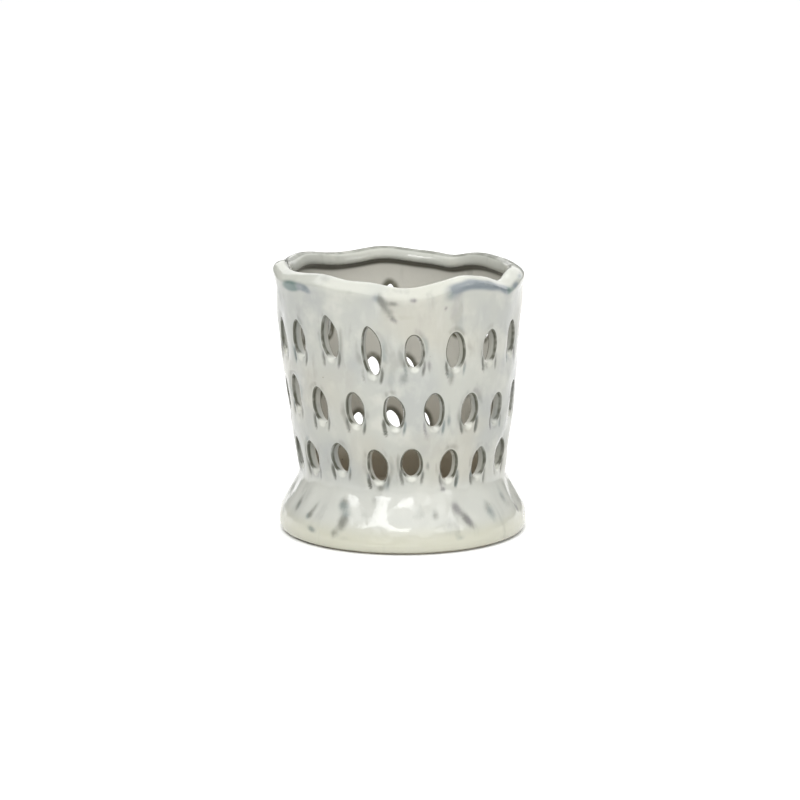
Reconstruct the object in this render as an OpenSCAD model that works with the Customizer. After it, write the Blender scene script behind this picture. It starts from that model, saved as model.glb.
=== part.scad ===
// Flower frog: a small stoneware pot with a wavy rolled rim, a wall that is pierced
// all round with leaf-shaped stem holes, and a flared foot. Its clay pieces are luted
// to one another face to face, and all are glazed except the ring that it stands on.
// The pot leans a little to -X, and its origin is on the table, under its middle. The
// front, below the dip in the rim, faces -Y. A bearing is an angle round the pot, from
// the front towards +X.

/* [Pot] */
// Height of the rim above the table, without its waves
pot_h = 108; // [90:1:150]
// Outside diameter of the rim
rim_d = 102; // [86:1:140]
// Outside diameter of the waist, where the wall stands on the foot
waist_d = 84.6; // [70:0.2:92]
// How far the rim stands to -X of the foot
lean = 1.8; // [0:0.1:3]

/* [Wall] */
// Thickness of the pierced wall
wall_t = 4.5; // [3:0.1:6]
// How far the wall swells outwards half-way up
belly = 1; // [0:0.1:3]

/* [Rim] */
// Height of the rolled rim above the wall
rim_h = 6; // [4:0.1:9]
// How far the roll stands out over the outside of the wall
rim_proud = 0.7; // [0.2:0.1:1.5]
// How far the roll stands in over the inside of the wall
rim_lap = 3; // [0.2:0.1:4]

/* [Stem holes] */
// Holes in each of the three rows
holes_per_row = 18; // [12:1:22]
// Width of a hole in the middle of the wall's thickness
hole_w = 7.4; // [6:0.1:10]
// How much a hole widens on each side, from the inside of the wall to the outside
hole_flare = 0.4; // [0:0.1:1.6]
// Height of the holes in the top row
top_hole_h = 14.5; // [12:0.5:21]
// Height of the holes in the middle row
mid_hole_h = 14; // [12:0.5:19]
// Height of the holes in the low row
low_hole_h = 12.6; // [10:0.1:17]
// How pointed the ends of a hole are, from an oval to a leaf
hole_point = 1.2; // [1:0.05:1.6]
// Clay left between the rolled rim and the top row
top_band = 14.5; // [10:0.5:20]
// Clay left between the foot and the low row
low_band = 2.9; // [0.6:0.1:6]
// Bearing of the first hole of the top and low rows
first_hole = 7; // [0:1:20]

/* [Foot] */
// Diameter of the flared foot at its widest
foot_d = 101.2; // [96:0.2:130]
// Height of the joint between the foot and the wall
foot_h = 25; // [20:0.5:34]
// Height of the foot's widest line above the table
toe_z = 5.5; // [4.5:0.5:8]
// Radius of the foot's rounded toe
toe_r = 11.4; // [8:0.2:14]
// Radius of the hollow curve from the foot into the wall
waist_r = 6; // [2:0.5:8]
// Rounding of the foot's lower edge
foot_edge = 1.6; // [0.4:0.1:2]

/* [Floor] */
// Thickness of the floor
floor_t = 6.5; // [4:0.5:9]
// Radius of the cove pressed into the corner round the floor
cove_r = 3; // [1:0.5:4]
// Height of the bare ring that the pot stands on
ring_h = 0.8; // [0.8:0.1:3]
// Width of the bare ring
ring_w = 3.5; // [2:0.5:5]
// How far the bare ring stands in from the foot's edge
ring_inset = 1; // [0:0.1:2]

/* [Hidden] */

$fn = 96;
glaze = "#D6D7CE";
inner_glaze = "#B9B7A8";
bare_clay = "#C9B9A0";

// Stations round the hand-made pieces, rings up the wall and steps over the roll
stations = 64;
wall_rings = 10;
rim_steps = 12;
// Points along an arc of the foot's section, and round the outline of a hole
arc_steps = 8;
// Angle at which the foot's edge rounding runs out into its toe
edge_end = -12;
hole_steps = 16;
// Chamfer on the edges of the bare ring
ring_chamfer = 0.4;
// How far a cutter runs past both faces of the wall
cut_past = 3;

// The waves that the maker's fingers left in the rim, chosen by hand, each as
// [bearing, rise, spread]
RIM_WAVES = [
    [4, -3.1, 16], [33, 1, 8], [61, -3, 10.5], [130, 1, 14], [150, -1.2, 9], [188, 2, 15],
    [239, 2.1, 16], [272, 1.8, 12], [320, 1, 14], [335, -0.9, 9]
];
// Holes that were cut taller or higher than the rest of their row, chosen by hand,
// each as [row from the top, place in the row, extra height, rise]
ODD_HOLES = [
    [0, 15, 0.5, 2], [0, 16, 3, 4.2], [0, 17, 5.5, -0.2], [0, 0, -1, -0.3], [0, 1, 0.5, -0.5],
    [0, 2, -1, -0.3], [0, 3, 0, 1.2], [0, 9, 1, 6.2], [1, 15, 1, 2.8], [1, 16, 1, 0],
    [1, 0, -0.6, -0.8], [1, 1, 0.4, -0.5], [1, 2, -0.6, -1.2], [1, 3, -1.6, -2.5],
    [2, 16, 0, 1.6], [2, 17, 1, -0.5], [2, 0, -0.4, 0.9], [2, 1, 0, -0.5], [2, 2, 0, -1.1]
];

top_r = rim_d / 2 - rim_proud;
joint_r = waist_d / 2;
foot_r = foot_d / 2;
foot_x = lean / 2;
floor_top = ring_h + floor_t;
cove_top = floor_top + cove_r;
low_row_z = foot_h + low_band + low_hole_h / 2;
top_row_z = pot_h - rim_h - top_band - top_hole_h / 2;
mid_row_z = (low_row_z + low_hole_h / 2 + top_row_z - top_hole_h / 2) / 2;
ROW_Z = [top_row_z, mid_row_z, low_row_z];
ROW_HOLE_H = [top_hole_h, mid_hole_h, low_hole_h];
hole_pitch = 360 / holes_per_row;
// The middle row is staggered by half a pitch
ROW_TURN = [first_hole, first_hole - hole_pitch / 2, first_hole];

// Both curves of the foot shrink together where the flare is too short for them
flare = foot_r - joint_r;
flare_h = foot_h - toe_z;
round_fit = min(1, 0.98 * (flare ^ 2 + flare_h ^ 2) / (2 * flare * (toe_r + waist_r)));
toe_round = toe_r * round_fit;
waist_round = waist_r * round_fit;
toe_x = foot_r - toe_round;
waist_x = joint_r + waist_round;
// Slope of the straight flare that touches both curves
flare_turn = atan2(flare_h, waist_x - toe_x)
    - acos((toe_round + waist_round) / norm([waist_x - toe_x, flare_h]));
// Where the foot's inside face meets the cove
floor_r = toe_x + (toe_round - wall_t) / cos(flare_turn) - (cove_top - toe_z) * tan(flare_turn);
edge_z = ring_h + foot_edge;
base_r = toe_x + sqrt(toe_round ^ 2 - (toe_z - edge_z) ^ 2) - foot_edge;

// Points of an arc in a section, from one angle to another
function arc(x, z, r, from, to, steps = arc_steps) = [
    for (k = [0:steps]) let (v = from + (to - from) * k / steps)
        [x + r * cos(v), z + r * sin(v)]
];

// Shortest turn from one bearing to another
function turn_between(a, b) = abs((a - b + 540) % 360 - 180);

// Rise of the rim at a bearing
function rim_wave(bearing) = sum([
    for (w = RIM_WAVES) w[1] * exp(-(turn_between(bearing, w[0]) / w[2]) ^ 2)
]);
function sum(values) = values * [for (v = values) 1];

// Height of the top of the wall at a bearing
function wall_top(bearing) = pot_h + rim_wave(bearing) - rim_h;

// Outside radius of the wall at a share of its height
function wall_r(share) = joint_r + (top_r - joint_r) * share + belly * sin(180 * share);

// Sideways place of the pot's middle at a height
function lean_at(z) = foot_x - lean * (z - foot_h) / (pot_h - foot_h);

// A point at a radius, height and bearing
function around(r, z, bearing) = [lean_at(z) + r * sin(bearing), -r * cos(bearing), z];

// The wall's section at a bearing: up its outside, then down its inside
function wall_section(bearing) = let (rise = (wall_top(bearing) - foot_h) / wall_rings) [
    for (k = [0:wall_rings]) [wall_r(k / wall_rings), foot_h + k * rise],
    for (k = [wall_rings:-1:0]) [wall_r(k / wall_rings) - wall_t, foot_h + k * rise]
];

// The rim's section at a bearing: from the wall's outer edge over the roll to its inner edge
function rim_section(bearing) = let (
    base = wall_top(bearing),
    half_t = (rim_proud + wall_t + rim_lap) / 2,
    half_h = rim_h * 0.52
) [
    [top_r, base],
    for (k = [0:rim_steps]) let (v = -30 + 240 * k / rim_steps) [
        top_r + rim_proud - half_t + half_t * cos(v),
        base + rim_h - half_h + half_h * sin(v)
    ],
    [top_r - wall_t, base]
];

// A closed hoop through one section at each station. The two hoops split the faces
// where they meet along the same lines.
module hoop(sections, split_back = false) {
    n = len(sections[0]);
    points = [for (i = [0:stations - 1], p = sections[i]) around(p[0], p[1], 360 * i / stations)];
    faces = [
        for (i = [0:stations - 1], j = [0:n - 1]) let (
            a = i * n + j,
            b = i * n + (j + 1) % n,
            c = (i + 1) % stations * n + (j + 1) % n,
            d = (i + 1) % stations * n + j
        ) each split_back ? [[a, b, d], [b, c, d]] : [[a, b, c], [a, c, d]]
    ];
    polyhedron(points, faces);
}

// Outline of a stem hole, pointed at both ends
module leaf(w, h) {
    polygon([
        for (k = [0:hole_steps - 1]) let (v = 360 * k / hole_steps)
            [w / 2 * sign(sin(v)) * abs(sin(v)) ^ hole_point, h / 2 * cos(v)]
    ]);
}

// The cut for one hole, wider towards the outside of the wall
module stem_hole(z, bearing, h) {
    middle = wall_r((z - foot_h) / (pot_h - rim_h - foot_h)) - wall_t / 2;
    reach = wall_t / 2 + cut_past;
    widening = hole_flare * 2 * reach / wall_t;
    plate = 0.01;
    translate([lean_at(z), 0, z]) rotate([90, 0, bearing]) hull() {
        translate([0, 0, middle - reach])
            linear_extrude(plate) leaf(hole_w - widening, h - widening);
        translate([0, 0, middle + reach])
            linear_extrude(plate) leaf(hole_w + widening, h + widening);
    }
}

module rim_coil() {
    color(glaze) hoop([for (i = [0:stations - 1]) rim_section(360 * i / stations)], true);
}

module pierced_wall() {
    color(glaze) difference() {
        hoop([for (i = [0:stations - 1]) wall_section(360 * i / stations)]);
        for (row = [0:2], place = [0:holes_per_row - 1]) {
            odd = [for (o = ODD_HOLES) if (o[0] == row && o[1] == place) o];
            growth = len(odd) > 0 ? odd[0][2] : 0;
            rise = len(odd) > 0 ? odd[0][3] : 0;
            stem_hole(ROW_Z[row] + rise, ROW_TURN[row] + place * hole_pitch, ROW_HOLE_H[row] + growth);
        }
    }
}

module flared_foot() {
    color(glaze) translate([foot_x, 0, 0]) rotate_extrude() polygon(concat(
        [[floor_r, ring_h]],
        arc(base_r, edge_z, foot_edge, -90, edge_end),
        arc(toe_x, toe_z, toe_round, asin((edge_z - toe_z) / toe_round), flare_turn),
        arc(waist_x, foot_h, waist_round, 180 + flare_turn, 180),
        arc(waist_x, foot_h, waist_round + wall_t, 180, 180 + flare_turn),
        [[floor_r, cove_top]]
    ));
}

module floor_slab() {
    color(inner_glaze) translate([foot_x, 0, 0]) rotate_extrude() polygon(concat(
        [[0, ring_h], [floor_r, ring_h]],
        arc(floor_r - cove_r, cove_top, cove_r, 0, -90),
        [[0, floor_top]]
    ));
}

module foot_ring() {
    outer = base_r - ring_inset;
    inner = outer - ring_w;
    color(bare_clay) translate([foot_x, 0, 0]) rotate_extrude() polygon([
        [inner, ring_h], [inner, ring_chamfer], [inner + ring_chamfer, 0],
        [outer - ring_chamfer, 0], [outer, ring_chamfer], [outer, ring_h]
    ]);
}

rim_coil();
pierced_wall();
flared_foot();
floor_slab();
foot_ring();
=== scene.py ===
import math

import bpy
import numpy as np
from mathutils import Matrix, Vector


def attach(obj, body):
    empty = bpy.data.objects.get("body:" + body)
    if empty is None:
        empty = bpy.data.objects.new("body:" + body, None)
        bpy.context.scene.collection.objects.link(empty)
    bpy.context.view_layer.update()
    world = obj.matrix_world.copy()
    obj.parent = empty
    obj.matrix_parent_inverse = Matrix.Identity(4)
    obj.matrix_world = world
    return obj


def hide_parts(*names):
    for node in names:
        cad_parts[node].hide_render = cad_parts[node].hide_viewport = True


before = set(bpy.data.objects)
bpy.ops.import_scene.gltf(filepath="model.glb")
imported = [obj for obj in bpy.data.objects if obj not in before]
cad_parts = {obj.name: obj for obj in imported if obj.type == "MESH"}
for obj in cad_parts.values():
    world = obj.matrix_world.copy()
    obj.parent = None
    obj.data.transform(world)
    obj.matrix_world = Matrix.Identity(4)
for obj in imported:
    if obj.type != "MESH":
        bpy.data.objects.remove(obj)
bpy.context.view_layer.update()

# Looks of a flower frog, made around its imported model: a leaning stoneware pot with a wavy
# rolled rim, a wall pierced with leaf-shaped stem holes, and a flared foot, all under a glossy
# white glaze that breaks grey over edges and pools blue-grey in hollows.
#
# Lengths are millimetres until a mesh is made. A bearing is an angle in degrees round the pot,
# from its front (-Y) towards +X. A depth runs from the outside face into the clay.

MM = 0.001
rng = np.random.default_rng(11)

# Sizes of the pot, the same as the CAD model's
POT_H = 108.0
TOP_R = 50.3
JOINT_R = 42.3
JOINT_Z = 25.0
BELLY = 1.0
WALL_T = 4.5
RIM_H = 6.0
LEAN = 1.8
FOOT_R = 50.6
TOE_Z = 5.5
TOE_R = 11.4
WAIST_R = 6.0
FOOT_EDGE = 1.6
RING_H = 0.8
RING_W = 3.5
RING_INSET = 1.0
RING_WORN = 0.35
FLOOR_TOP = 7.3
COVE_R = 3.0
# The floor's net stops at this small radius, and its thrown rings are this deep
FLOOR_EYE_R = 0.6
FLOOR_RIPPLE = 0.12
HOLES = 18
PITCH = 360 / HOLES
FIRST_HOLE = 7.0

# Mesh columns across one hole's share of the wall, and mesh rows up each row of holes
CELL_COLUMNS = 14
COLUMNS = HOLES * CELL_COLUMNS
CELL_ROWS = (24, 20, 18)
# Heights between the rows of holes, from above the top row to below the low row
ROW_EDGES = (96.0, 66.2, 44.6, 23.2)
# The border under the top row climbs here, over a high hole: bearing, rise, spread
EDGE_CLIMB = (-63, 2.4, 13)
ROW_Z = (80.2, 56.3, 34.0)
ROW_TURN = (FIRST_HOLE, FIRST_HOLE - PITCH / 2, FIRST_HOLE)
ROW_SIZE = ((7.9, 14.6), (7.9, 14.0), (8.0, 12.8))

# Rounded glazed edges of a hole: outside at its sides and at its lower lip, inside, how far
# the wall dips towards it, and how much the cut narrows inwards
EDGE_OUT = 0.5
EDGE_LIP = 1.7
EDGE_IN = 0.8
DIP = 0.35
TAPER = 0.35
# A hole's size is taken part-way round its edge, so its narrowest outline is smaller by this
NARROWER = 0.7
SHORTER = 0.5
# Where the lower lip starts and is full, as shares of half a hole's height
LIP_SPAN = (0.5, 0.95)
# How far the usual hole strays by hand in each of the sizes listed in CUT_BY_HAND, and how
# pointed and how strongly grooved it is
STRAY = (0.3, 0.7, 0.7, 0.6, 0.6, 0.3, 0.15, 0.4, 0.4)
USUAL_POINT = 1.2
USUAL_GROOVE = 0.8
# Where the net has rings: shares of the way from the border to the mouth of a hole, and
# degrees round its outer and inner edges
RINGS_OUTSIDE = (0, 0.2, 0.4, 0.58, 0.74, 0.88)
TURNS_OUTER = (0, 22, 45, 68, 90)
TURNS_INNER = (0, 30, 60, 90)
RINGS_INSIDE = (0.85, 0.66, 0.45, 0.22, 0)
# Grooves that the cutting loop left under both lower corners of a hole: depth, width, how
# far they splay, and the heights over the hole's lowest point where they start and end
GROOVE_DEEP = 0.6
GROOVE_WIDE = 0.62
GROOVE_SPLAY = 0.16
GROOVE_START = (-4.8, -0.5)
GROOVE_END = (1.5, 6)

# Waves of the rim: bearing, rise, spread
RIM_WAVES = (
    (4, -3.1, 16), (33, 1.0, 8), (61, -3.0, 10.5), (130, 1.0, 14), (150, -1.2, 9), (188, 2.0, 15),
    (239, 2.1, 16), (272, 1.8, 12), (320, 1.0, 14), (335, -0.9, 9),
)
# Between these heights the waves take hold
WAVES_FROM = (90, 99)
# How much rounder the roll is at the back, where that is, and how many degrees to either
# side of it that fades
ROUNDER = 1.5
BACK = 190
BACK_FADE = (75, 130)

# Holes cut unlike the rest of their row, listed one by one. The key is the row from the top and the
# place in it; then width, height, rise, shift, how far the top and the bottom lean, how
# pointed the top is, and how strong the grooves under its left and right corners are.
CUT_BY_HAND = {
    (0, 14): (8.0, 14.4, 1.2, -0.8, -0.6, 0.0, 1.4, 0.9, 0.8),
    (0, 15): (8.2, 15.0, 2.0, -1.3, -0.8, 0.3, 1.4, 1.0, 0.9),
    (0, 16): (7.8, 17.3, 4.2, -0.6, -1.5, 0.3, 1.5, 0.8, 0.9),
    (0, 17): (7.6, 20.0, -0.2, 0.0, -1.4, 0.5, 1.4, 0.5, 0.9),
    (0, 0): (7.6, 13.6, -0.2, -0.2, 0.0, 0.1, 1.0, 0.7, 0.8),
    (0, 1): (8.0, 15.0, -0.5, 0.0, -0.2, 0.4, 1.1, 1.0, 0.6),
    (0, 2): (8.2, 13.6, -0.3, 0.2, 0.5, 0.2, 1.3, 1.0, 0.7),
    (0, 3): (8.0, 14.0, 1.2, -0.5, 0.3, 0.0, 1.3, 0.7, 0.8),
    (0, 9): (8.0, 15.5, 5.7, -1.5, -0.4, 0.0, 1.2, 0.8, 0.8),
    (0, 11): (7.8, 14.6, 0.0, -2.2, 0.0, 0.0, 1.2, 0.8, 0.8),
    (1, 15): (8.0, 14.8, 3.0, -0.8, -0.4, 0.3, 1.3, 0.9, 0.7),
    (1, 16): (8.0, 14.9, 0.3, -0.6, -0.6, 0.5, 1.35, 1.0, 0.8),
    (1, 17): (7.5, 14.0, 0.2, 0.0, -0.5, 0.2, 1.1, 0.8, 0.9),
    (1, 0): (8.1, 13.4, -0.4, -0.3, -0.7, 0.8, 1.05, 1.3, 0.7),
    (1, 1): (8.0, 14.4, -0.1, -0.4, 0.0, 0.3, 1.05, 0.6, 0.7),
    (1, 2): (7.8, 13.4, -0.8, -0.8, 0.4, -0.4, 1.1, 1.0, 1.3),
    (1, 3): (7.4, 12.4, -2.1, -1.1, 0.3, 0.0, 1.2, 0.8, 0.6),
    (2, 14): (8.0, 13.0, -0.6, -1.2, -0.4, 0.3, 1.3, 0.8, 0.7),
    (2, 15): (8.2, 13.0, 0.1, -1.8, -0.5, 0.3, 1.3, 0.9, 0.7),
    (2, 16): (8.0, 12.6, 1.7, -1.0, -0.4, 0.3, 1.3, 1.2, 0.7),
    (2, 17): (7.9, 13.8, -0.3, 0.0, -1.0, 0.6, 1.05, 1.2, 0.6),
    (2, 0): (8.4, 12.2, 1.1, -1.5, 0.0, 0.0, 1.0, 1.0, 0.8),
    (2, 1): (7.6, 12.8, -0.3, -1.2, 0.3, -0.2, 1.1, 0.7, 1.3),
    (2, 2): (7.9, 12.8, -0.9, -1.4, 0.4, -0.2, 1.3, 1.0, 0.8),
    (2, 3): (7.6, 12.6, 0.3, -1.3, 0.3, 0.0, 1.3, 0.6, 0.9),
}

# How far the outside is uneven on the wall and the foot, and how far each is drawn in for
# that; how far fingers dent it; and the heights where the foot gives way to the wall
WALL_UNEVEN = 0.32
WALL_IN = 0.25
FOOT_UNEVEN = 0.55
FOOT_IN = 0.4
FINGER_DENTS = 0.5
FOOT_TO_WALL = (16, 30)
# Shallow hollows in the foot between the low holes: depth, height and reach
HOLLOWS = (0.7, 20, 6)
# Below this height the foot's edge stays plain
PLAIN_BELOW = 7
# The plain section is softened from here up, over a window of this many of its steps
SECTION_STEP = 0.25
SOFT_STEPS = 19
SOFT_FROM = (12, 17)

# Presses and swellings left by the maker's hands: bearing, height, half-width,
# half-height, tilt in degrees and rise; and how steep their edges are
PRESS_EDGE = 1.6
HAND_PRESSES = (
    (-8, 101, 1.5, 5.5, 25, -0.7),
    (19.5, 104.2, 5.5, 0.7, 11, 0.4),
    (-20, 104.4, 6.0, 0.7, -8, 0.3),
    (-3, 95, 1.3, 4.0, 35, -0.35),
    (3, 99, 9.0, 4.0, 0, -0.4),
    (9, 9.5, 5.2, 4.6, 0, 0.5),
    (10, 10, 2.6, 2.4, 0, -0.35),
    (-13, 8, 8.0, 4.0, 0, -0.3),
    (-47, 12, 1.6, 6.0, -30, -0.4),
    (-56, 16, 3.0, 6.0, -10, 0.35),
    (34, 13, 2.2, 6.0, 35, -0.4),
    (22, 18, 3.0, 6.0, 10, 0.3),
    (58, 10, 6.0, 6.0, 0, -0.5),
    (-36, 9, 3.0, 4.0, -30, -0.4),
    (-66, 11, 4.0, 5.0, 10, -0.4),
    (84, 5, 5.0, 2.6, 0, -0.8),
    (120, 10, 7.0, 6.0, 10, -0.5),
    (140, 14, 2.0, 6.0, 20, -0.4),
    (165, 9, 8.0, 6.0, -20, -0.5),
    (205, 12, 6.0, 6.0, 25, -0.4),
    (222, 10, 1.8, 6.0, -25, -0.4),
    (250, 8, 7.0, 5.0, 0, -0.5),
)

# Where the foot was patted flat, in the same form
PATTED = (
    (-11, 17, 8, 13, 0, -0.65), (14, 16, 7, 10, 0, -0.35), (100, 15, 8, 12, 0, -0.6),
    (188, 16, 8, 12, 0, -0.6),
)

# Grey marks where the glaze has crawled thin: bearing, height, half-width,
# half-height, tilt in degrees and strength
BLOTCHES = (
    (-7.5, 101.6, 1.7, 3.4, 24, 1.15), (-2.5, 101.8, 2.2, 1.2, 0, 0.9), (-2.8, 94.8, 1.3, 3.0, 28, 0.95),
    (-3.6, 98.6, 2.2, 1.6, 0, 0.45), (6.6, 103.4, 1.5, 1.1, 0, 0.9), (21, 97.7, 0.6, 1, 0, 1),
    (-46, 102.6, 2, 1.1, -15, 0.8),
    (1.5, 69.5, 2.1, 3.2, 0, 0.75), (13.6, 74.4, 1, 2.3, 0, 0.9), (24.6, 69.8, 1.5, 3.9, 0, 0.85),
    (24, 52.1, 1, 2.5, 0, 0.95), (12.5, 46.4, 1.4, 2.8, 0, 0.5), (13.2, 34.2, 0.8, 2, 0, 0.85),
    (-63, 14, 2.1, 3, -10, 0.9), (-49, 14, 1.4, 3.5, -25, 0.7), (-50.5, 11.6, 1.8, 1.3, 0, 0.8),
    (-46, 7, 2.8, 1.3, -10, 0.95), (-31, 18, 2.2, 2.4, 25, 1.1), (-29, 12, 2.2, 3.9, -15, 1.1),
    (-33, 7, 1.8, 2, 0, 0.65), (-27, 5.6, 2.8, 1.2, 0, 0.35), (-12, 25, 1.6, 1.4, 0, 0.85),
    (-14.5, 20.5, 2.2, 2.7, 0, 0.5), (22, 24.2, 1.2, 1.2, 0, 0.95), (41.5, 27.4, 2.1, 2, 0, 1),
    (50, 26, 2.1, 3, 0, 0.5), (27, 17, 2.1, 2.6, 15, 0.85), (32, 12.2, 1.8, 4, 35, 1.15),
    (16, 15, 1.6, 2, 0, 0.75), (20.5, 10, 2.2, 2.4, 0, 0.4), (27, 6, 2.1, 1.3, 0, 0.5),
    (47, 14, 2.4, 4.2, 15, 0.75), (62, 17, 2.2, 2.6, 0, 0.65), (72, 11, 1.2, 2.1, 15, 0.95),
    (80, 13, 3.6, 3.7, 0, 0.45), (88, 9, 2.4, 3.3, 0, 0.9), (80, 24, 2.1, 3.7, 0, 0.6),
    (-84, 20, 2.4, 4.5, 0, 0.6), (-78, 9, 2.4, 3.3, 10, 0.6), (104, 15, 1.8, 3.2, 15, 0.9),
    (118, 8, 1.5, 2.4, -20, 0.8), (126, 18, 1.2, 3.2, 10, 0.7), (141, 11, 1.8, 3.5, 20, 0.9),
    (156, 17, 1.4, 2.2, 0, 0.7), (168, 7, 1.6, 2.2, 0, 0.8), (183, 14, 1.4, 3.8, -20, 1),
    (199, 9, 1.8, 1.9, 0, 0.7), (214, 18, 1.2, 3, 10, 0.8), (223, 10, 1.6, 3.5, -25, 1),
    (240, 15, 1.4, 2.7, 0, 0.7), (252, 8, 1.5, 1.9, 0, 0.8), (262, 19, 1.4, 3, 0, 0.6),
    (98, 70, 1.4, 3.2, 0, 0.7), (128, 45.5, 1.3, 2.8, 0, 0.7), (150, 95, 1, 2.3, 30, 0.8),
    (176, 69, 1.6, 3, 0, 0.7), (205, 47, 1.1, 2.8, 0, 0.8), (233, 71, 1.4, 3, 0, 0.7),
    (262, 46, 1.1, 2.5, 0, 0.6), (201, 98, 0.6, 0.9, 0, 0.9), (118, 97, 0.7, 0.9, 0, 0.8),
)

# Where the glaze has run and pooled under the rim, in the same form
POOLS = (
    (-56, 102.6, 6.6, 1.8, 0, 1.4), (-46, 101.8, 3.2, 1.3, -20, 0.9), (-9.5, 102.6, 2.6, 1.9, 0, 0.55),
    (27, 104.2, 4.5, 1.8, -8, 0.95), (36, 104.5, 5.5, 2.0, 0, 1.15), (46, 104.3, 5.0, 1.9, 0, 1.1),
    (57, 104.0, 4.5, 1.8, 0, 1.2), (67, 104.3, 3.5, 1.1, 0, 0.75), (76, 104.9, 3.5, 1.0, 0, 0.6),
    (85, 105.3, 3.0, 0.9, 0, 0.4), (24, 101.6, 4.0, 2.4, -20, 0.5), (110, 103.4, 9.0, 1.8, 0, 0.9),
    (150, 103.4, 6.0, 1.6, 0, 0.8), (192, 103.6, 9.0, 1.6, 0, 0.7), (230, 103.4, 9.0, 1.7, 0, 0.95),
    (266, 103.2, 6.0, 1.6, 0, 0.8),
)
# Where those pools are teal, and not blue-grey
TEALS = (
    (-58, 102, 6, 5, 0, 1.2), (61, 103, 3.5, 3, 0, 1.0), (22, 102, 4, 4, 0, 0.6), (150, 103, 8, 5, 0, 1),
    (266, 103, 8, 5, 0, 1),
)


# ---------- shape ----------

def arc(x, z, radius, start, end, steps=24):
    """Points of an arc in the pot's section, as an array of radius and height."""
    v = np.radians(np.linspace(start, end, steps + 1))
    return np.stack([x + radius * np.cos(v), z + radius * np.sin(v)], 1)


def smoothstep(values, low, high):
    """0 at low, 1 at high and an eased share between; low may be the greater."""
    share = np.clip((values - low) / (high - low), 0, 1)
    return share * share * (3 - 2 * share)


toe_x = FOOT_R - TOE_R
waist_x = JOINT_R + WAIST_R
flare_turn = (
    math.degrees(math.atan2(JOINT_Z - TOE_Z, waist_x - toe_x))
    - math.degrees(math.acos((TOE_R + WAIST_R) / math.hypot(waist_x - toe_x, JOINT_Z - TOE_Z)))
)
cove_top = FLOOR_TOP + COVE_R
edge_z = RING_H + FOOT_EDGE
base_r = toe_x + math.sqrt(TOE_R ** 2 - (TOE_Z - edge_z) ** 2) - FOOT_EDGE
foot_x = LEAN / 2
floor_r = (
    toe_x + (TOE_R - WALL_T) / math.cos(math.radians(flare_turn))
    - (cove_top - TOE_Z) * math.tan(math.radians(flare_turn))
)


def section_curve(points):
    """A smooth radius for each height, from the section's points; soft where clay meets clay."""
    heights = np.arange(0, POT_H + RIM_H, SECTION_STEP)
    radii = np.interp(heights, points[:, 1], points[:, 0])
    window = np.hanning(SOFT_STEPS)
    padded = np.pad(radii, len(window) // 2, mode="edge")
    soft = np.convolve(padded, window / window.sum(), mode="valid")
    share = smoothstep(heights, *SOFT_FROM)
    return heights, radii * (1 - share) + soft * share


def wall_points(inset):
    """The wall's section, so far in from its outside face."""
    share = np.linspace(0.01, 1, 60)
    radii = JOINT_R + (TOP_R - JOINT_R) * share + BELLY * np.sin(np.pi * share) - inset
    return np.stack([radii, JOINT_Z + (POT_H - RIM_H - JOINT_Z) * share], 1)


toe_start = math.degrees(math.asin((edge_z - TOE_Z) / TOE_R))
OUTSIDE = section_curve(np.concatenate([
    arc(toe_x, TOE_Z, TOE_R, toe_start, flare_turn),
    arc(waist_x, JOINT_Z, WAIST_R, 180 + flare_turn, 180),
    wall_points(0),
]))
INSIDE = section_curve(np.concatenate([
    [[floor_r, cove_top]],
    arc(waist_x, JOINT_Z, WAIST_R + WALL_T, 180 + flare_turn, 180),
    wall_points(WALL_T),
]))


def outside(height):
    """Radius of the outside face of the foot and wall."""
    return np.interp(height, *OUTSIDE)


def inside(height):
    """Radius of their inside face."""
    return np.interp(height, *INSIDE)


def turn_between(a, b):
    """Degrees from bearing b to bearing a, the short way round."""
    return (a - b + 540) % 360 - 180


def rim_wave(bearing):
    """How much higher the rim is than plain."""
    return sum(rise * np.exp(-(turn_between(bearing, at) / spread) ** 2)
               for at, rise, spread in RIM_WAVES)


def marks(bearing, height, listed, flat=1):
    """Sum of soft oval marks on the outside of the pot, from a list in the form above. A
    flatter mark has a steeper edge."""
    total = np.zeros(np.broadcast(bearing, height).shape)
    for at, z, half_w, half_h, tilt, rise in listed:
        across = np.radians(turn_between(bearing, at)) * outside(z)
        up = height - z
        c, s = math.cos(math.radians(tilt)), math.sin(math.radians(tilt))
        far = ((across * c + up * s) / half_w) ** 2 + ((up * c - across * s) / half_h) ** 2
        total += rise * np.exp(-far ** flat)
    return total


def wander(count, turns, per_mm):
    """Draws a slow unevenness: waves round the pot that drift as they climb it."""
    return [(rng.integers(*turns), rng.uniform(-per_mm, per_mm), rng.uniform(0, 2 * math.pi),
             rng.uniform(0.5, 1)) for _ in range(count)]


def unevenness(bearing, height, waves):
    """From -1 to 1, by the waves drawn above."""
    total = sum(size * np.sin(np.radians(bearing) * turns + height * climb + start)
                for turns, climb, start, size in waves)
    return total / sum(size for _, _, _, size in waves)


WALL_WAVES = wander(7, (2, 9), 0.09)
FINGER_WAVES = wander(12, (9, 24), 0.4)
FOOT_WAVES = wander(8, (4, 15), 0.12)
RIM_FATNESS = wander(6, (2, 10), 0.0)


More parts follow.
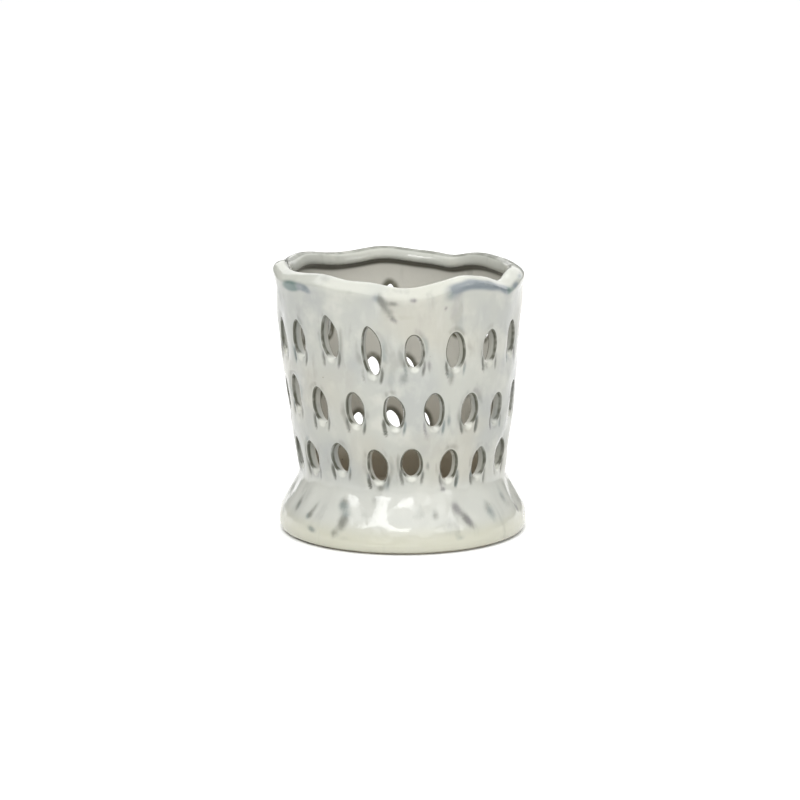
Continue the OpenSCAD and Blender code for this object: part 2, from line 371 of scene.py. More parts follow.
def hand_shape(bearing, height):
    """How far the outside stands in or out of the plain section."""
    wall = WALL_UNEVEN * unevenness(bearing, height, WALL_WAVES) - WALL_IN
    foot = FOOT_UNEVEN * unevenness(bearing, height, FOOT_WAVES) - FOOT_IN
    deep, middle, reach = HOLLOWS
    between_holes = 0.5 * np.cos(np.radians(bearing - FIRST_HOLE) * HOLES) - 0.5
    foot = foot + deep * between_holes * np.exp(-((height - middle) / reach) ** 2)
    share = smoothstep(height, *FOOT_TO_WALL)
    dents = FINGER_DENTS * unevenness(bearing, height, FINGER_WAVES)
    shape = foot * (1 - share) + wall * share + dents
    shape = shape + marks(bearing, height, HAND_PRESSES, PRESS_EDGE) + marks(bearing, height, PATTED)
    return shape * smoothstep(height, edge_z, PLAIN_BELOW)


def place(radius, bearing, height):
    """Points of the leaning pot, in millimetres."""
    radius, bearing, height = np.broadcast_arrays(radius, bearing, height)
    turn = np.radians(bearing)
    lean = foot_x - LEAN * np.maximum(height - JOINT_Z, 0) / (POT_H - JOINT_Z)
    return np.stack([lean + radius * np.sin(turn), -radius * np.cos(turn), height], -1)


def clay(bearing, height, depth):
    """Points in the wall or the rim: the rim's waves lift what is near the top."""
    thin = 1 - 0.6 * np.clip(depth / WALL_T, 0, 1)
    radius = outside(height) + hand_shape(bearing, height) * thin - depth
    return place(radius, bearing, height + rim_wave(bearing) * smoothstep(height, *WAVES_FROM))


def curve_through(points, steps):
    """A Catmull-Rom curve through given points."""
    p = np.array(points, float)
    p = np.concatenate([[2 * p[0] - p[1]], p, [2 * p[-1] - p[-2]]])
    out = []
    for i in range(1, len(p) - 2):
        t = np.linspace(0, 1, steps, endpoint=False)[:, None]
        a, b, c, d = p[i - 1:i + 3]
        out.append(0.5 * (2 * b + (c - a) * t + (2 * a - 5 * b + 4 * c - d) * t ** 2
                          + (3 * b - a - 3 * c + d) * t ** 3))
    return np.concatenate(out + [p[-2:-1]])


def leaf(width, height, top_lean, bottom_lean, point, wobble):
    """Outline of a hole from its lowest point, anticlockwise, with its outward direction."""
    t = np.radians(np.linspace(-90, 270, 361))
    c, s = np.cos(t), np.sin(t)
    sharp = 1 + (point - 1) * (s + 1) / 2
    x = width / 2 * np.sign(c) * np.abs(c) ** sharp * (1 + 0.03 * np.sin(3 * t + wobble))
    x = x + np.where(s > 0, top_lean, bottom_lean) * s * s
    y = height / 2 * s
    along = np.stack([np.gradient(x), np.gradient(y)], 1)
    along /= np.linalg.norm(along, axis=1)[:, None]
    return np.stack([x, y], 1), np.stack([along[:, 1], -along[:, 0]], 1)


def share_out(points, normals, steps):
    """The outline's points again, evenly spaced within each of its four quarters."""
    out_p, out_n = [], []
    for quarter in range(4):
        part = slice(quarter * 90, quarter * 90 + 91)
        p, n = points[part], normals[part]
        run = np.concatenate([[0], np.cumsum(np.linalg.norm(np.diff(p, axis=0), axis=1))])
        at = np.linspace(0, run[-1], steps + 1)[:-1]
        out_p.append(np.stack([np.interp(at, run, p[:, k]) for k in (0, 1)], 1))
        out_n.append(np.stack([np.interp(at, run, n[:, k]) for k in (0, 1)], 1))
    n = np.concatenate(out_n)
    n[0], n[2 * steps] = (0, -1), (0, 1)
    return np.concatenate(out_p), n / np.linalg.norm(n, axis=1)[:, None]


def cell_edge(columns, rows):
    """The border of a hole's share of the wall, from its bottom middle, anticlockwise, as
    columns from the middle and a share of its height."""
    half = columns // 2
    ups = np.linspace(0, 1, rows + 1)
    bottom_right = [(c, 0) for c in range(0, half)]
    right = [(half, up) for up in ups[:-1]]
    top = [(c, 1) for c in range(half, -half, -1)]
    left = [(-half, up) for up in ups[:0:-1]]
    bottom_left = [(c, 0) for c in range(-half, 0)]
    return np.array(bottom_right + right + top + left + bottom_left, float)


def row_edge(k, bearing):
    """Height of the border between two rows of holes."""
    at, rise, spread = EDGE_CLIMB
    climb = rise * np.exp(-(turn_between(bearing, at) / spread) ** 2) if k == 1 else 0
    return ROW_EDGES[k] + climb


def grooves(across, up, width, tall, left, right, wide):
    """How strong the two grooves under a hole's lower corners are at a point."""
    under = -tall / 2 - up
    run = smoothstep(-under, *GROOVE_START) * (1 - smoothstep(-under, *GROOVE_END))
    total = 0
    for side, strength in ((-1, left), (1, right)):
        middle = side * (width / 2 - 0.05 - GROOVE_SPLAY * np.maximum(under + 1.5, 0))
        total = total + strength * np.exp(-((across - middle) / wide) ** 2)
    return total * run


class Skin:
    """The glazed surface as one net of points and faces, each face marked with its piece."""

    def __init__(self):
        self.points, self.faces, self.pieces, self.traits = [], [], [], []
        self.count = 0

    def net(self, piece, points, **traits):
        """Adds a net of rings, each of them one row of points that closes on itself."""
        rows, columns = points.shape[:2]
        ids = self.count + np.arange(rows * columns).reshape(rows, columns)
        ids = np.concatenate([ids, ids[:, :1]], 1)
        quads = np.stack([ids[:-1, :-1], ids[:-1, 1:], ids[1:, 1:], ids[1:, :-1]], -1).reshape(-1, 4)
        pieces = np.broadcast_to(np.asarray(piece, object).reshape(-1, 1), (rows - 1, ids.shape[1] - 1))
        self.points.append(points.reshape(-1, 3))
        self.faces.append(quads)
        self.pieces.append(pieces.reshape(-1))
        self.traits.append(np.stack(
            [np.broadcast_to(traits.get(k, 0.0), (rows, columns)).reshape(-1) for k in TRAITS], 1))
        self.count += rows * columns

    def weld(self):
        """Joins points in one place and works out the smooth direction of each."""
        points = np.concatenate(self.points)
        traits = np.concatenate(self.traits)
        _, first, join = np.unique(np.round(points, 3), axis=0, return_index=True, return_inverse=True)
        join = join.reshape(-1)
        self.xyz = points[first]
        tally = np.bincount(join)[:, None]
        self.trait_values = np.stack(
            [np.bincount(join, traits[:, k]) for k in range(len(TRAITS))], 1) / tally
        self.quads = join[np.concatenate(self.faces)]
        self.piece_of = np.concatenate(self.pieces)
        a, b, c, d = (self.xyz[self.quads[:, k]] for k in range(4))
        facing = np.cross(c - a, d - b)
        self.normals = np.zeros_like(self.xyz)
        for k in range(4):
            np.add.at(self.normals, self.quads[:, k], facing)
        self.normals /= np.maximum(np.linalg.norm(self.normals, axis=1), 1e-9)[:, None]


# What the glaze reads at each point of the skin: how far it is from the edge of a hole, less
# than nothing inside the pot; how far in; how far below the rim; and how strongly each mark shows
TRAITS = ("near_hole", "inward", "below_rim", "blotch", "pool", "teal", "crest", "fold", "groove",
          "lip")
# Distances from the edge of a hole, outside the pot and inside it, that are too far to matter
FAR = 6.0
FAR_INSIDE = -9.0
# The traits of the faces that the pieces are luted by, which are never seen
LUTED = (FAR, 1, 50, 0, 0, 0, 0, 0, 0, 0)


def outside_traits(bearing, height, near=FAR):
    """What the glaze does at points on the outside of the wall or foot."""
    return dict(
        near_hole=near,
        below_rim=POT_H - height,
        blotch=marks(bearing, height, BLOTCHES),
        pool=marks(bearing, height, POOLS),
        teal=marks(bearing, height, TEALS),
    )


def hole_cut(skin, row, spot):
    """One hole with its share of the wall, from the outside face through to the inside one."""
    width, tall = ROW_SIZE[row]
    # The more the bottom leans, the more pointed the top: they share a draw
    drawn = rng.uniform(-1, 1, 8)[[0, 1, 2, 3, 4, 5, 5, 6, 7]]
    plain = (width, tall, 0, 0, 0, 0, USUAL_POINT, USUAL_GROOVE, USUAL_GROOVE)
    usual = [size + stray * chance for size, stray, chance in zip(plain, STRAY, drawn)]
    cut = CUT_BY_HAND.get((row, spot), usual)
    width, tall, rise, shift, top_lean, bottom_lean, point, left, right = cut
    middle = ROW_TURN[row] + spot * PITCH
    z = ROW_Z[row] + rise
    reach = outside(ROW_Z[row]) - WALL_T / 2
    degrees = math.degrees(1 / reach)
    rows = CELL_ROWS[row]
    edge = cell_edge(CELL_COLUMNS, rows)
    edge_turn = edge[:, 0] * 360 / COLUMNS
    low, high = row_edge(row + 1, middle + edge_turn), row_edge(row, middle + edge_turn)
    border = np.stack([np.radians(edge_turn) * reach, low + (high - low) * edge[:, 1]], 1)
    wobble = rng.uniform(0, 6)
    outline, away = share_out(
        *leaf(width - NARROWER, tall - SHORTER, top_lean, bottom_lean, point, wobble),
        CELL_COLUMNS // 2 + rows // 2)
    lip = smoothstep(-outline[:, 1] / tall * 2, *LIP_SPAN)
    round_out = EDGE_OUT + (EDGE_LIP - EDGE_OUT) * lip
    outline = outline + [shift, z]
    mouth = outline + away * round_out[:, None]

    # Each layer: points, depth, distance from the edge of the hole, and how much it is the hole's
    layers = []
    gap = np.linalg.norm(border - mouth, axis=1)
    for s in RINGS_OUTSIDE:
        layers.append((border + (mouth - border) * s, DIP * s ** 3, round_out + (1 - s) * gap, s))
    for v in np.radians(TURNS_OUTER):
        out = round_out * (1 - math.sin(v))
        layers.append((outline + away * out[:, None], DIP + round_out * (1 - math.cos(v)), out, 1))
    start, end = DIP + round_out, WALL_T - EDGE_IN
    layers.append((outline - away * TAPER / 2, (start + end) / 2, -0.5, 1))
    for v in np.radians(TURNS_INNER):
        out = EDGE_IN * (1 - math.cos(v)) - TAPER
        layers.append((outline + away * out, end + EDGE_IN * math.sin(v), -1 - v, 1))
    inner = outline + away * (EDGE_IN - TAPER)
    gap = np.linalg.norm(border - inner, axis=1)
    for s in RINGS_INSIDE:
        near = np.maximum(-3 - gap * (1 - s), FAR_INSIDE)
        layers.append((border + (inner - border) * s, WALL_T, near, 0))

    count = len(border)
    flat = np.stack([at for at, _, _, _ in layers])
    depth = np.stack([np.broadcast_to(d, count) for _, d, _, _ in layers])
    near = np.stack([np.broadcast_to(n, count) for _, _, n, _ in layers])
    inwards = np.stack([np.broadcast_to(s, count) for _, _, _, s in layers])
    bearing = middle + flat[..., 0] * degrees
    across, up = flat[..., 0] - shift, flat[..., 1] - z
    # Everything about this hole dies out at the border of its share
    mine = 1 - (1 - inwards) ** 4
    face = np.clip(1 - depth / WALL_T, 0, 1)
    deeper = GROOVE_DEEP * grooves(across, up, width, tall, left, right, GROOVE_WIDE) * mine * face
    traits = outside_traits(bearing, flat[..., 1], np.minimum(near, FAR))
    traits["blotch"] = traits["blotch"] * face
    traits["pool"] = traits["pool"] * face
    traits["inward"] = depth / WALL_T
    traits["groove"] = grooves(across, up, width, tall, left, right, GROOVE_WIDE * 1.2) * mine * face
    # The lower lip, which takes a painted highlight and keeps the dark edge line off
    traits["lip"] = (lip * np.exp(-(across / width * 3.6) ** 2) * smoothstep(near, -1.5, 0.3)
                     * (1 - smoothstep(near, 1.0, 2.4)))
    skin.net("pierced_wall", clay(bearing, flat[..., 1], depth + deeper), **traits)


def station_bearings():
    """Bearings of the net's columns, in line with the borders between the top and low holes."""
    return FIRST_HOLE - PITCH / 2 + np.arange(COLUMNS) * 360 / COLUMNS


def rim_roll(skin):
    """The rolled rim, and the plain bands of wall under it on both faces."""
    bearing = station_bearings()[None, :]
    fat = 1 + 0.1 * unevenness(bearing, 0, RIM_FATNESS)
    # Each point of the roll: out from the wall's face, up from the rim's height, how far the
    # glaze is the inside one, the ridge where it breaks, and the fold under the lap, painted dark partly
    # for its thin glaze and partly as its shadow
    roll = curve_through([
        (0.0, -9.5, 0, 0, 0), (0.05, -7.8, 0, 0, 0), (0.3, -6.2, 0, 0, 0), (0.5, -5.0, 0, 0, 0),
        (0.35, -4.0, 0, 0, 0), (-0.5, -3.0, 0, 0, 0), (-1.9, -1.9, 0, 0, 0), (-3.5, -0.8, 0, 0.1, 0),
        (-4.8, -0.4, 0, 0.7, 0), (-5.6, -0.6, 0, 1, 0), (-6.6, -1.5, 0, 0, 0),
        (-7.3, -3.0, 0, 0, 0), (-7.45, -4.3, 0.1, 0, 0), (-6.9, -5.3, 0.4, 0, 0.7),
        (-5.8, -6.0, 0.8, 0, 1), (-4.9, -7.0, 1, 0, 0.9), (-4.5, -8.3, 1, 0, 0.3), (-4.5, -9.5, 1, 0, 0),
    ], 4)
    # The roll meets the wall a rim's height down, on both faces
    above = np.flatnonzero(roll[:, 1] > -RIM_H)
    joints = [above[0], above[-1] + 1]
    cuts = [roll[k - 1] + (roll[k] - roll[k - 1]) * (-RIM_H - roll[k - 1, 1])
            / (roll[k, 1] - roll[k - 1, 1]) for k in joints]
    roll = np.insert(roll, joints, cuts, axis=0)
    joints[1] += 1
    out, drop, inward, crest, fold = (roll[:, k:k + 1] for k in range(5))
    out = np.where(out > 0, out * fat, np.where(out < -WALL_T, (out + WALL_T) * fat - WALL_T, out))
    height = POT_H + drop
    behind = 1 - smoothstep(np.abs(turn_between(bearing, BACK)), *BACK_FADE)
    outer = np.arange(len(roll))[:, None] < np.argmax(drop)
    rounder = ROUNDER * behind * outer * np.sin(np.pi * np.clip(1 + drop / RIM_H, 0, 1))
    row = np.arange(len(roll) - 1)
    pieces = np.where((row >= joints[0]) & (row < joints[1]), "rim_coil", "pierced_wall")
    traits = outside_traits(bearing, height)
    # Marks fade out over the top of the roll, and the dark ridge shows mostly at the back
    over_top = smoothstep(out, -5, -2)
    traits.update(
        inward=inward,
        crest=np.clip(crest, 0, 1) * (0.15 + 0.85 * behind),
        fold=np.clip(fold, 0, 1),
        near_hole=FAR + (FAR_INSIDE - FAR) * inward,
        pool=traits["pool"] * over_top,
        blotch=traits["blotch"] * over_top,
    )
    points = clay(bearing, height + rounder, -out)
    skin.net(pieces, points, **traits)

    band = np.linspace(ROW_EDGES[0], POT_H + roll[0, 1], 4)[:, None]
    skin.net("pierced_wall", clay(bearing, band, 0.0), **outside_traits(bearing, band))
    skin.net("pierced_wall", clay(bearing, band[::-1], WALL_T), near_hole=FAR_INSIDE, inward=1.0,
             below_rim=POT_H - band[::-1])
    return points[joints[0]], points[joints[1]]


def flared_foot(skin):
    """The outside of the foot from under its edge up to the wall, and its inside."""
    bearing = station_bearings()[None, :]
    under = np.array([[floor_r, RING_H], [base_r - RING_W - RING_INSET, RING_H],
                      [base_r - FOOT_EDGE, RING_H]])
    edge = arc(base_r, edge_z, FOOT_EDGE, -90, 0, 5)
    heights = np.concatenate([np.linspace(edge_z, 12, 14)[1:], np.linspace(12, ROW_EDGES[-1], 12)[1:]])
    lower = np.concatenate([under, edge])
    skin.net("flared_foot", place(lower[:, :1], bearing, lower[:, 1:]), near_hole=FAR, below_rim=POT_H)
    rise = np.concatenate([[edge_z], heights])[:, None]
    skin.net("flared_foot", clay(bearing, rise, 0.0), **outside_traits(bearing, rise))

    fall = np.linspace(ROW_EDGES[-1], cove_top, 14)[:, None]
    step = outside(ROW_EDGES[-1]) - WALL_T - inside(ROW_EDGES[-1])
    fade = smoothstep(fall, 15, ROW_EDGES[-1])
    thin = 0.4 * hand_shape(bearing, fall)
    skin.net("flared_foot", place(inside(fall) + (step + thin) * fade, bearing, fall),
             near_hole=FAR_INSIDE, inward=1.0, below_rim=POT_H - fall)


def floor_slab(skin):
    """The glazed floor inside the pot, with the cove round it."""
    bearing = station_bearings()[None, :]
    cove = arc(floor_r - COVE_R, cove_top, COVE_R, 0, -90, 6)
    flat = np.linspace(floor_r - COVE_R, FLOOR_EYE_R, 26)[1:]
    section = np.concatenate([cove, np.stack([flat, np.full(len(flat), FLOOR_TOP)], 1)])
    radius, height = section[:, :1], section[:, 1:]
    ripple = FLOOR_RIPPLE * np.sin(radius * 1.3) * smoothstep(floor_r - radius, 2, 8)
    skin.net("floor_slab", place(radius, bearing, height + ripple),
             near_hole=FAR_INSIDE, inward=1.0, below_rim=POT_H - height)


def cap(outer, inner):
    """A flat band between two rings, facing up when outer comes first."""
    n = len(outer)
    ids = np.arange(n)
    after = (ids + 1) % n
    quads = np.stack([ids, after, after + n, ids + n], 1)
    return np.concatenate([outer, inner]), quads


def joint_ring(height, depth):
    """The ring of points where two pieces meet in the wall."""
    return clay(station_bearings(), np.full(COLUMNS, height), depth)


def put(name, data):
    """Adds an object to the scene."""
    made = bpy.data.objects.new(name, data)
    bpy.context.scene.collection.objects.link(made)
    return made


def make_piece(name, points, faces, material, normals=None, traits=None):
    """A Blender object from points in millimetres, smooth, riding on the pot."""
    mesh = bpy.data.meshes.new(name)
    mesh.from_pydata(points * MM, [], [f.tolist() for f in faces])
    mesh.update()
    mesh.shade_smooth()
    if traits is not None:
        for k, trait in enumerate(TRAITS):
            layer = mesh.attributes.new(trait, "FLOAT", "POINT")
            layer.data.foreach_set("value", traits[:, k].astype(np.float32))
    if normals is not None:
        mesh.normals_split_custom_set_from_vertices(normals)
    mesh.materials.append(material)
    made = put(name, mesh)
    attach(made, "root")
    return made


def glazed_piece(skin, node, material, caps):
    """One clay piece cut out of the glazed skin, with the flat faces that it is luted by."""
    quads = skin.quads[skin.piece_of == node]
    used, join = np.unique(quads, return_inverse=True)
    points, normals, traits = skin.xyz[used], skin.normals[used], skin.trait_values[used]
    faces = [join.reshape(-1, 4)]
    for ring, cap_faces in caps:
        a, b, c, d = (ring[cap_faces[:, k]] for k in range(4))
        facing = np.cross(c - a, d - b).mean(0)
        facing /= max(np.linalg.norm(facing), 1e-9)
        faces.append(cap_faces + len(points))
        points = np.concatenate([points, ring])
        normals = np.concatenate([normals, np.tile(facing, (len(ring), 1))])
        traits = np.concatenate([traits, np.tile(LUTED, (len(ring), 1))])
    made = make_piece("glazed_" + node, points, np.concatenate(faces), material, normals, traits)
    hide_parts(node)


def foot_ring(material):
    """The bare ring that the pot stands on, its edges worn round."""
    outer = base_r - RING_INSET
    inner = outer - RING_W
    section = np.concatenate([
        [[inner, RING_H]],
        arc(inner + RING_WORN, RING_WORN, RING_WORN, 180, 270, 4),
        arc(outer - RING_WORN, RING_WORN, RING_WORN, 270, 360, 4),
        [[outer, RING_H]],
    ])
    bearing = station_bearings()[None, :]
    points = place(section[:, :1], bearing, section[:, 1:])
    rows, columns = points.shape[:2]
    ids = np.arange(rows * columns).reshape(rows, columns)
    across, down = np.roll(ids, -1, 1), np.roll(ids, -1, 0)
    quads = np.stack([ids, across, np.roll(across, -1, 0), down], -1).reshape(-1, 4)
    made = make_piece("bare_foot_ring", points.reshape(-1, 3), quads, material)
    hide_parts("foot_ring")


# ---------- materials ----------

def linear(code):
    """An sRGB hex value as a linear colour."""
    parts = [int(code[i:i + 2], 16) / 255 for i in (1, 3, 5)]
    return tuple(v / 12.92 if v <= 0.04045 else ((v + 0.055) / 1.055) ** 2.4 for v in parts) + (1.0,)


def add(tree, kind, inputs=None, **settings):
    """Adds a node with its settings, and sets or links its inputs."""
    made = tree.nodes.new(kind)
    for name, value in settings.items():
        setattr(made, name, value)
    for name, value in (inputs or {}).items():
        if isinstance(value, bpy.types.NodeSocket):
            tree.links.new(value, made.inputs[name])
        else:
            made.inputs[name].default_value = value
    return made


def per(size_mm):
    """The scale of a pattern whose features are that many millimetres."""
    return 1 / (size_mm * MM)


def new_material(name):
    """A material with its node tree and its shader."""
    made = bpy.data.materials.new(name)
    made.use_nodes = True
    tree = made.node_tree
    shader = tree.nodes["Principled BSDF"]
    return made, tree, shader


# The glaze's milky ground, under all its coats, and how strongly its glass bends light
GLAZE_GROUND = "#A9AAA2"
GLAZE_IOR = 1.48
# The clouds and mottles of the glaze, and those that break up its painted light and shade: size in mm,
# detail, where in the noise, and warp. The tall ones run down the wall.
GLAZE_NOISES = {
    "hand_clouds": (26, 2, 0, 0), "finger_clouds": (9, 4, 3, 0), "thin_clouds": (15, 3, 7, 0),
    "cream_clouds": (34, 2, 11, 0), "pool_mottle": (5, 3, 21, 0.6), "blue_drift": (11, 1, 33, 0),
    "mauve_drift": (14, 1, 35, 0), "gather_and_glint_mottle": (4, 3, 37, 0), "edge_breaks": (5, 2, 41, 0),
    "inner_shade_mottle": (6, 2, 43, 0), "blotch_fray": (2.2, 4, 51, 0.5), "ridge_breaks": (8, 3, 61, 0),
    "tall_smudges": (7, 3, 65, 0.3), "tall_streaks": (3.5, 3, 67, 0.2), "ripples": (6, 2, 71, 0),
    "orange_peel": (0.9, 3, 73, 0), "gloss_clouds": (12, 3, 81, 0),
}
# Coats over the milky ground, from the first to the last: colour, strength, and what each is
# limited to, as a noise or trait with the values where it starts and is full, and if it
# doesn't go from 0 to 1, its own two values
GLAZE_COATS = (
    # Thicker and thinner in clouds the size of a hand and of a fingertip
    ("#A0A29D", 1.0, ("hand_clouds", 0.35, 0.65)),
    ("#B7B7AE", 0.75, ("finger_clouds", 0.48, 0.72)),
    ("#949795", 0.5, ("thin_clouds", 0.52, 0.72)),
    ("#ABA89B", 0.6, ("cream_clouds", 0.5, 0.7)),
    # Painted light: lighter on the foot, which faces up to the light, and on the top of the rim
    ("#BDBEB7", 0.75, ("below_rim", 76, 88)),
    ("#C3C4B9", 0.4, ("below_rim", 7, 3)),
    # Painted light: lighter and warmer at the toe, for light bounced up from the floor
    ("#BBBAA8", 0.8, ("below_rim", 95, 103)),
    # The inside is plain; further down it is warmer and darker, partly a warmer glaze and partly painted
    # shade deep in the pot
    ("#C3C1B8", 0.9, ("inward", 0.5, 1.0)),
    ("#B5AB99", 0.75, ("inward", 0.7, 1.0), ("below_rim", 45, 98)),
    # Soft grey smudges and streaks that ran down the wall
    ("cool", 0.28, ("tall_smudges", 0.56, 0.74)),
    ("#BCBCB4", 0.3, ("tall_streaks", 0.5, 0.8)),
    # Blue-grey and teal pools under the rim
    ("pooled", 0.92, ("pool_mottle", 0.25, 0.5, 0.7, 1.0), ("pool", 0.1, 0.85)),
    # Grooves and hollows beside the holes, where grey glaze has gathered
    ("cool", 0.85, ("gather_and_glint_mottle", 0.25, 0.55, 0.5, 1.0), ("groove", 0.1, 0.7)),
    ("#4F5147", 0.8, ("gather_and_glint_mottle", 0.25, 0.5, 0.4, 1.0), ("groove", 0.45, 1.0)),
    ("cool", 0.45, ("near_hole", 0.4, 1.2), ("near_hole", 3.6, 1.6), ("tall_smudges", 0.48, 0.62)),
    # The glaze breaks dark over the cut edges of a hole in a thin line outside; inside, the inner edges and
    # the face round them are painted dark as shade, where they face away from the light
    ("#4A4B3F", 0.95, ("near_hole", -0.45, -0.1), ("near_hole", 0.62, 0.36),
     ("edge_breaks", 0.3, 0.55, 0.45, 1.0), ("lip", 0.5, 0.1)),
    ("#4B4938", 0.9, ("near_hole", -0.9, -1.5), ("near_hole", -5.4, -3.2),
     ("inner_shade_mottle", 0.25, 0.6, 0.6, 1.0)),
    # Painted highlight: the scooped lower lip is lighter, as it catches the light from above
    ("#D3D4CA", 0.6, ("gather_and_glint_mottle", 0.35, 0.55, 0.5, 1.0), ("lip", 0.2, 0.95)),
    # Crawled blotches
    ("cool", 0.8, ("frayed_blotch", 0.1, 1.05)),
    # The break along the ridge of the rim; and the fold under its lap, painted dark partly for its thin
    # glaze and partly as the shadow under the lap
    ("#6B6D63", 0.95, ("ridge_breaks", 0.3, 0.55, 0.5, 1.0), ("crest", 0.1, 0.9)),
    ("#45443A", 0.9, ("fold", 0.3, 0.95)),
    # A few iron specks
    ("#5F5A4F", 0.6, ("speck_distance", 0.08, 0.04), ("speck_lot", 0.9, 0.92)),
)


def glazed_stoneware():
    """Stoneware dipped in a white reactive glaze and fired glossy: milky and uneven, greyer
    where it is thin over an edge, blue-grey where it has run together. Light and shade are painted
    into its colour as well: lighter on the foot, the toe, the top of the rim and the holes' lower
    lips, darker on the holes' inner edges, in the fold under the rim and deep inside."""
    made, tree, shader = new_material("white_reactive_glaze_on_stoneware")
    where = add(tree, "ShaderNodeTexCoord").outputs["Object"]
    tall = add(tree, "ShaderNodeVectorMath", {0: where, 1: (1, 1, 0.4)}, operation="MULTIPLY").outputs[0]
    field = {k: add(tree, "ShaderNodeAttribute", attribute_name=k).outputs["Fac"] for k in TRAITS}
    for name, (size_mm, detail, offset, warp) in GLAZE_NOISES.items():
        field[name] = add(tree, "ShaderNodeTexNoise", {
            "Vector": tall if name.startswith("tall") else where, "W": offset, "Scale": per(size_mm),
            "Detail": detail, "Distortion": warp,
        }, noise_dimensions="4D").outputs["Fac"]
    fray = add(tree, "ShaderNodeMapRange", {
        "Value": field["blotch_fray"], "From Min": 0.2, "From Max": 0.75, "To Min": -0.1, "To Max": 0.12,
    }).outputs["Result"]
    field["frayed_blotch"] = add(tree, "ShaderNodeMath", {0: field["blotch"], 1: fray}).outputs[0]
    # Iron specks half a millimetre wide and a few millimetres apart, drawn as coarse as they show
    cells = add(tree, "ShaderNodeTexVoronoi", {"Vector": where, "Scale": per(6)})
    field["speck_distance"] = cells.outputs["Distance"]
    field["speck_lot"] = add(tree, "ShaderNodeSeparateColor", {"Color": cells.outputs["Color"]}).outputs[0]

    tint = {}
    # Where the glaze gathers it is olive-grey, drifting to blue-grey and to mauve
    drifts = (("cool", "#66675F", "blue_drift", 0.52, 0.62, "#65706F"),
              ("cool", None, "mauve_drift", 0.58, 0.66, "#6C696C"),
              ("pooled", "#6E767B", "teal", 0.3, 0.7, "#5A6D69"))
    for name, ground, source, low, high, over in drifts:
        share = add(tree, "ShaderNodeMapRange", {
            "Value": field[source], "From Min": low, "From Max": high,
        }, interpolation_type="SMOOTHSTEP").outputs["Result"]
        under = linear(ground) if ground else tint[name]
        tint[name] = add(tree, "ShaderNodeMix", {0: share, 6: under, 7: linear(over)},
                         data_type="RGBA").outputs[2]

    colour = linear(GLAZE_GROUND)
    for shade, strength, *limits in GLAZE_COATS:
        share = strength
        for source, low, high, *ends in limits:
            low_value, high_value = ends or (0.0, 1.0)
            eased = add(tree, "ShaderNodeMapRange", {
                "Value": field[source], "From Min": low, "From Max": high,
                "To Min": low_value, "To Max": high_value,
            }, interpolation_type="SMOOTHSTEP").outputs["Result"]
            share = add(tree, "ShaderNodeMath", {0: share, 1: eased}, operation="MULTIPLY").outputs[0]
        over = tint[shade] if shade in tint else linear(shade)
        colour = add(tree, "ShaderNodeMix", {0: share, 6: colour, 7: over}, data_type="RGBA").outputs[2]

    # A fired glaze is glassy but never quite flat: slow ripples, and a faint orange peel
    ripple = add(tree, "ShaderNodeBump", {
        "Strength": 0.5, "Distance": 0.0006, "Height": field["ripples"],
    }).outputs["Normal"]
    fine = add(tree, "ShaderNodeBump", {
        "Strength": 0.1, "Distance": 0.0002, "Height": field["orange_peel"], "Normal": ripple,
    }).outputs["Normal"]
    gloss = add(tree, "ShaderNodeMapRange", {
        "Value": field["gloss_clouds"], "From Min": 0.3, "From Max": 0.7, "To Min": 0.06, "To Max": 0.15,
    }).outputs["Result"]
    duller = add(tree, "ShaderNodeMath", {
        0: field["frayed_blotch"], 1: 0.12, 2: gloss,
    }, operation="MULTIPLY_ADD").outputs[0]
    for name, value in {"Base Color": colour, "Roughness": duller, "Normal": fine}.items():
        tree.links.new(value, shader.inputs[name])
    shader.inputs["IOR"].default_value = GLAZE_IOR
    return made


def bare_stoneware():
    """Unglazed stoneware, sponged before firing: buff, gritty and quite matt."""
    made, tree, shader = new_material("bare_fired_stoneware")
    where = add(tree, "ShaderNodeTexCoord").outputs["Object"]
    body = add(tree, "ShaderNodeTexNoise", {"Vector": where, "Scale": per(6), "Detail": 4.0})
    # Grog is about half a millimetre
    grit = add(tree, "ShaderNodeTexNoise", {"Vector": where, "Scale": per(0.6), "Detail": 2.0})
    tone = add(tree, "ShaderNodeMix", {
        0: body.outputs["Fac"], 6: linear("#C9C2B2"), 7: linear("#B3AA98"),
    }, data_type="RGBA").outputs[2]
    dark = add(tree, "ShaderNodeMapRange", {
        "Value": grit.outputs["Fac"], "From Min": 0.6, "From Max": 0.75, "To Max": 0.6,
    }).outputs["Result"]
    tone = add(tree, "ShaderNodeMix", {0: dark, 6: tone, 7: linear("#8C8373")}, data_type="RGBA").outputs[2]
    rough = add(tree, "ShaderNodeMapRange", {
        "Value": grit.outputs["Fac"], "To Min": 0.75, "To Max": 0.95,
    }).outputs["Result"]
    bump = add(tree, "ShaderNodeBump", {
        "Strength": 0.5, "Distance": 0.0002, "Height": grit.outputs["Fac"],
    }).outputs["Normal"]
    for name, value in {"Base Color": tone, "Roughness": rough, "Normal": bump}.items():
        tree.links.new(value, shader.inputs[name])
    return made


def studio_floor():
    """Matt white paper."""
    made, tree, shader = new_material("matt_white_paper")
    where = add(tree, "ShaderNodeTexCoord").outputs["Object"]
    fibre = add(tree, "ShaderNodeTexNoise", {"Vector": where, "Scale": per(40), "Detail": 2.0})
    tone = add(tree, "ShaderNodeMix", {
        0: fibre.outputs["Fac"], 6: linear("#F7F7F7"), 7: linear("#F9F9F9"),
    }, data_type="RGBA").outputs[2]
    tree.links.new(tone, shader.inputs["Base Color"])
    shader.inputs["Roughness"].default_value = 0.9
    shader.inputs["Specular IOR Level"].default_value = 0.1
    return made


# ---------- studio ----------

# In metres: the floor reaches almost to the horizon, and every light is turned to the pot's
# middle
FLOOR_REACH = 80.0
MIDDLE = (0, 0, 0.055)
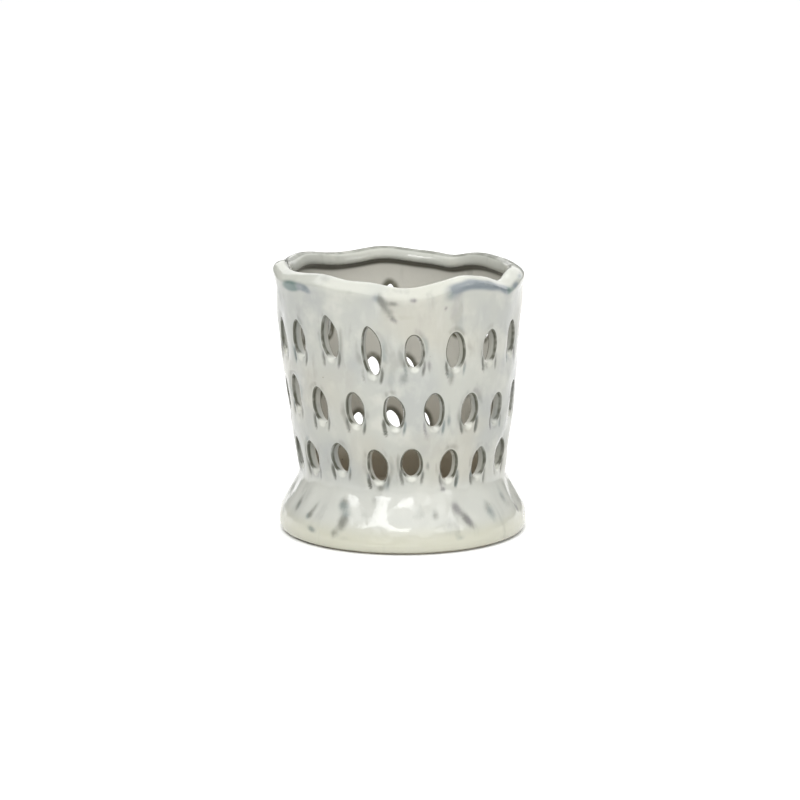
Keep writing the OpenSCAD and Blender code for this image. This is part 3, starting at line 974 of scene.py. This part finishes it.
# Soft lights: name, place and size in metres, and watts
SOFT_LIGHTS = (
    ("key_front_left", (-0.38, -0.9, 0.8), (0.66, 0.3), 4.4),
    ("front_wall", (0.1, -1.6, 0.9), (1.8, 1.2), 10.5),
    ("fill_front_right", (0.9, -0.8, 0.6), (0.5, 0.5), 2.5),
    ("back", (0.2, 1.3, 0.9), (1.8, 1.2), 9.0),
)
# An even glow from above, as wide as a bright ceiling, and the little light of the air
CEILING_GLOW = 3.1
CEILING_DEGREES = 90
AIR_LIGHT = 0.12
# The camera: place in metres, degrees down, and lens and sensor in millimetres
EYE = (-0.0002, -0.907, 0.226)
EYE_DOWN = 10.84
LENS = 102.2
SENSOR = 36


def soft_light(name, place_m, size_m, watts):
    """A rectangular light turned to the pot."""
    lamp = bpy.data.lights.new(name, "AREA")
    lamp.shape = "RECTANGLE"
    lamp.size, lamp.size_y = size_m
    lamp.energy = watts
    made = put(name, lamp)
    made.location = place_m
    made.rotation_euler = (Vector(MIDDLE) - Vector(place_m)).to_track_quat("-Z", "Y").to_euler()


def studio():
    """A sheet of white paper under a bright ceiling, with a few soft lights."""
    floor = bpy.data.meshes.new("paper_floor")
    corners = ((-1, -1), (1, -1), (1, 1), (-1, 1))
    floor.from_pydata([(x * FLOOR_REACH, y * FLOOR_REACH, 0) for x, y in corners], [], [(0, 1, 2, 3)])
    floor.materials.append(studio_floor())
    put("paper_floor", floor)

    for light in SOFT_LIGHTS:
        soft_light(*light)
    ceiling = bpy.data.lights.new("ceiling", "SUN")
    ceiling.energy = CEILING_GLOW
    ceiling.angle = math.radians(CEILING_DEGREES)
    put("ceiling", ceiling)

    world = bpy.data.worlds.new("studio_air")
    world.use_nodes = True
    world.node_tree.nodes["Background"].inputs["Color"].default_value = linear("#FFFFFF")
    world.node_tree.nodes["Background"].inputs["Strength"].default_value = AIR_LIGHT
    bpy.context.scene.world = world
    bpy.context.scene.view_settings.view_transform = "Standard"


def camera():
    """Eye a little above the rim, about 0.9 m off, looking down by 11 degrees."""
    lens = bpy.data.cameras.new("camera")
    lens.sensor_width = SENSOR
    lens.lens = LENS
    made = put("camera", lens)
    made.location = EYE
    made.rotation_euler = (math.radians(90 - EYE_DOWN), 0, 0)
    bpy.context.scene.camera = made


def pot():
    """All five pieces of the pot, cut from one skin but for the ring it stands on."""
    skin = Skin()
    for row in range(len(ROW_Z)):
        for spot in range(HOLES):
            hole_cut(skin, row, spot)
    top_out, top_in = rim_roll(skin)
    flared_foot(skin)
    floor_slab(skin)
    skin.weld()

    glaze = glazed_stoneware()
    low_out, low_in = joint_ring(ROW_EDGES[-1], 0.0), joint_ring(ROW_EDGES[-1], WALL_T)
    glazed_piece(skin, "rim_coil", glaze, [cap(top_in, top_out)])
    glazed_piece(skin, "pierced_wall", glaze, [cap(top_out, top_in), cap(low_in, low_out)])
    bearing = station_bearings()
    side = [place(floor_r, bearing, z) for z in (cove_top, RING_H)]
    glazed_piece(skin, "flared_foot", glaze, [cap(low_out, low_in), cap(side[0], side[1])])
    under = place(FLOOR_EYE_R, bearing, RING_H)
    glazed_piece(skin, "floor_slab", glaze, [cap(side[1], side[0]), cap(under, side[1])])
    foot_ring(bare_stoneware())


camera()
studio()
pot()
